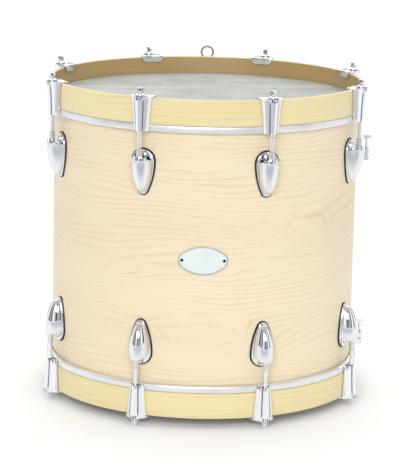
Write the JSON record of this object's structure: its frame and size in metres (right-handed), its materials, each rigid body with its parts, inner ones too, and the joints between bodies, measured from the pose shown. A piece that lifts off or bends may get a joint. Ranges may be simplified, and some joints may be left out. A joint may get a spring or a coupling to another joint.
{
  "type": "double-headed drum",
  "caption": "Cylindrical maple drum with a skin at each end, held by wooden counterhoops, claw hooks and key rods in separate lugs.",
  "frame": {"origin": "on the drum's axis, level with the lower ends of the resonant tension rods on which it stands", "axes": "+Z along the drum's axis towards the batter head, -Y towards the badge at the front, +X towards the rod clamps"},
  "size_m": [0.4259, 0.4269, 0.4338],
  "materials": {
    "maple_shell": "satin lacquer",
    "maple_hoop": "gloss lacquer",
    "skin": "smooth translucent film with a mottled skin look",
    "aluminium": "bright rolled",
    "chrome": "polished",
    "steel": "zinc plated",
    "brass": "nickel plated",
    "rubber": "matt",
    "nylon": "natural",
    "badge_enamel": "smooth"
  },
  "bodies": {
    "drum": {"shell": "maple_shell", "batter_skin": "skin", "batter_flesh_hoop": "aluminium", "resonant_skin": "skin", "resonant_flesh_hoop": "aluminium", "batter_lug_1": "chrome", "batter_lug_2": "chrome", "batter_lug_3": "chrome", "batter_lug_4": "chrome", "batter_lug_5": "chrome", "batter_lug_6": "chrome", "batter_lug_7": "chrome", "batter_lug_8": "chrome", "resonant_lug_1": "chrome", "resonant_lug_2": "chrome", "resonant_lug_3": "chrome", "resonant_lug_4": "chrome", "resonant_lug_5": "chrome", "resonant_lug_6": "chrome", "resonant_lug_7": "chrome", "resonant_lug_8": "chrome", "lug_gaskets": "rubber", "swivel_nuts": "brass", "nut_retainers": "nylon", "lug_screws": "steel", "lug_screw_washers": "steel", "badge_plate": "badge_enamel", "badge_bezel": "chrome", "badge_pins": "chrome", "vent_grommet": "chrome", "upper_rod_clamp": "chrome", "lower_rod_clamp": "chrome", "sling_block": "chrome", "sling_eye_bolt": "chrome", "sling_lock_nut": "steel", "plate_screws": "steel"},
    "batter_hoop_set": {"batter_counterhoop": "maple_hoop", "batter_claws": "chrome", "batter_rod_washers": "steel"},
    "batter_rod_1": {"batter_tension_rod_1": "chrome"},
    "batter_rod_2": {"batter_tension_rod_2": "chrome"},
    "batter_rod_3": {"batter_tension_rod_3": "chrome"},
    "batter_rod_4": {"batter_tension_rod_4": "chrome"},
    "batter_rod_5": {"batter_tension_rod_5": "chrome"},
    "batter_rod_6": {"batter_tension_rod_6": "chrome"},
    "batter_rod_7": {"batter_tension_rod_7": "chrome"},
    "batter_rod_8": {"batter_tension_rod_8": "chrome"},
    "resonant_hoop_set": {"resonant_counterhoop": "maple_hoop", "resonant_claws": "chrome", "resonant_rod_washers": "steel"},
    "resonant_rod_1": {"resonant_tension_rod_1": "chrome"},
    "resonant_rod_2": {"resonant_tension_rod_2": "chrome"},
    "resonant_rod_3": {"resonant_tension_rod_3": "chrome"},
    "resonant_rod_4": {"resonant_tension_rod_4": "chrome"},
    "resonant_rod_5": {"resonant_tension_rod_5": "chrome"},
    "resonant_rod_6": {"resonant_tension_rod_6": "chrome"},
    "resonant_rod_7": {"resonant_tension_rod_7": "chrome"},
    "resonant_rod_8": {"resonant_tension_rod_8": "chrome"},
    "upper_clamp_screw_body": {"upper_clamp_screw": "chrome"},
    "lower_clamp_screw_body": {"lower_clamp_screw": "chrome"}
  },
  "joints": [
    {"name": "batter_hoop_lift", "type": "slide", "parent": "drum", "child": "batter_hoop_set", "axis": [0, 0, 1], "range_m": [0, 0.006]},
    {"name": "batter_rod_1_turn", "type": "hinge", "parent": "batter_hoop_set", "child": "batter_rod_1", "pos_m": [0.08193, -0.1978, 0.4161], "axis": [0, 0, 1], "range_deg": [0, 2041]},
    {"name": "batter_rod_2_turn", "type": "hinge", "parent": "batter_hoop_set", "child": "batter_rod_2", "pos_m": [0.1978, -0.08193, 0.4161], "axis": [0, 0, 1], "range_deg": [0, 2041]},
    {"name": "batter_rod_3_turn", "type": "hinge", "parent": "batter_hoop_set", "child": "batter_rod_3", "pos_m": [0.1978, 0.08193, 0.4161], "axis": [0, 0, 1], "range_deg": [0, 2041]},
    {"name": "batter_rod_4_turn", "type": "hinge", "parent": "batter_hoop_set", "child": "batter_rod_4", "pos_m": [0.08193, 0.1978, 0.4161], "axis": [0, 0, 1], "range_deg": [0, 2041]},
    {"name": "batter_rod_5_turn", "type": "hinge", "parent": "batter_hoop_set", "child": "batter_rod_5", "pos_m": [-0.08193, 0.1978, 0.4161], "axis": [0, 0, 1], "range_deg": [0, 2041]},
    {"name": "batter_rod_6_turn", "type": "hinge", "parent": "batter_hoop_set", "child": "batter_rod_6", "pos_m": [-0.1978, 0.08193, 0.4161], "axis": [0, 0, 1], "range_deg": [0, 2041]},
    {"name": "batter_rod_7_turn", "type": "hinge", "parent": "batter_hoop_set", "child": "batter_rod_7", "pos_m": [-0.1978, -0.08193, 0.4161], "axis": [0, 0, 1], "range_deg": [0, 2041]},
    {"name": "batter_rod_8_turn", "type": "hinge", "parent": "batter_hoop_set", "child": "batter_rod_8", "pos_m": [-0.08193, -0.1978, 0.4161], "axis": [0, 0, 1], "range_deg": [0, 2041]},
    {"name": "resonant_hoop_lift", "type": "slide", "parent": "drum", "child": "resonant_hoop_set", "axis": [0, 0, -1], "range_m": [0, 0.006]},
    {"name": "resonant_rod_1_turn", "type": "hinge", "parent": "resonant_hoop_set", "child": "resonant_rod_1", "pos_m": [0.08193, -0.1978, 0.0161], "axis": [0, 0, -1], "range_deg": [0, 2041]},
    {"name": "resonant_rod_2_turn", "type": "hinge", "parent": "resonant_hoop_set", "child": "resonant_rod_2", "pos_m": [0.1978, -0.08193, 0.0161], "axis": [0, 0, -1], "range_deg": [0, 2041]},
    {"name": "resonant_rod_3_turn", "type": "hinge", "parent": "resonant_hoop_set", "child": "resonant_rod_3", "pos_m": [0.1978, 0.08193, 0.0161], "axis": [0, 0, -1], "range_deg": [0, 2041]},
    {"name": "resonant_rod_4_turn", "type": "hinge", "parent": "resonant_hoop_set", "child": "resonant_rod_4", "pos_m": [0.08193, 0.1978, 0.0161], "axis": [0, 0, -1], "range_deg": [0, 2041]},
    {"name": "resonant_rod_5_turn", "type": "hinge", "parent": "resonant_hoop_set", "child": "resonant_rod_5", "pos_m": [-0.08193, 0.1978, 0.0161], "axis": [0, 0, -1], "range_deg": [0, 2041]},
    {"name": "resonant_rod_6_turn", "type": "hinge", "parent": "resonant_hoop_set", "child": "resonant_rod_6", "pos_m": [-0.1978, 0.08193, 0.0161], "axis": [0, 0, -1], "range_deg": [0, 2041]},
    {"name": "resonant_rod_7_turn", "type": "hinge", "parent": "resonant_hoop_set", "child": "resonant_rod_7", "pos_m": [-0.1978, -0.08193, 0.0161], "axis": [0, 0, -1], "range_deg": [0, 2041]},
    {"name": "resonant_rod_8_turn", "type": "hinge", "parent": "resonant_hoop_set", "child": "resonant_rod_8", "pos_m": [-0.08193, -0.1978, 0.0161], "axis": [0, 0, -1], "range_deg": [0, 2041]},
    {"name": "upper_clamp_screw_turn", "type": "hinge", "parent": "drum", "child": "upper_clamp_screw_body", "pos_m": [0.213, 0, 0.3223], "axis": [0, 0, 1], "range_deg": [0, 720]},
    {"name": "lower_clamp_screw_turn", "type": "hinge", "parent": "drum", "child": "lower_clamp_screw_body", "pos_m": [0.213, 0, 0.072], "axis": [0, 0, 1], "range_deg": [0, 720]}
  ],
  "couplings": [
    {"joint": "batter_rod_1_turn", "follows": "batter_hoop_lift", "rad_per_m": 5936.9},
    {"joint": "batter_rod_2_turn", "follows": "batter_hoop_lift", "rad_per_m": 5936.9},
    {"joint": "batter_rod_3_turn", "follows": "batter_hoop_lift", "rad_per_m": 5936.9},
    {"joint": "batter_rod_4_turn", "follows": "batter_hoop_lift", "rad_per_m": 5936.9},
    {"joint": "batter_rod_5_turn", "follows": "batter_hoop_lift", "rad_per_m": 5936.9},
    {"joint": "batter_rod_6_turn", "follows": "batter_hoop_lift", "rad_per_m": 5936.9},
    {"joint": "batter_rod_7_turn", "follows": "batter_hoop_lift", "rad_per_m": 5936.9},
    {"joint": "batter_rod_8_turn", "follows": "batter_hoop_lift", "rad_per_m": 5936.9},
    {"joint": "resonant_rod_1_turn", "follows": "resonant_hoop_lift", "rad_per_m": 5936.9},
    {"joint": "resonant_rod_2_turn", "follows": "resonant_hoop_lift", "rad_per_m": 5936.9},
    {"joint": "resonant_rod_3_turn", "follows": "resonant_hoop_lift", "rad_per_m": 5936.9},
    {"joint": "resonant_rod_4_turn", "follows": "resonant_hoop_lift", "rad_per_m": 5936.9},
    {"joint": "resonant_rod_5_turn", "follows": "resonant_hoop_lift", "rad_per_m": 5936.9},
    {"joint": "resonant_rod_6_turn", "follows": "resonant_hoop_lift", "rad_per_m": 5936.9},
    {"joint": "resonant_rod_7_turn", "follows": "resonant_hoop_lift", "rad_per_m": 5936.9},
    {"joint": "resonant_rod_8_turn", "follows": "resonant_hoop_lift", "rad_per_m": 5936.9}
  ]
}
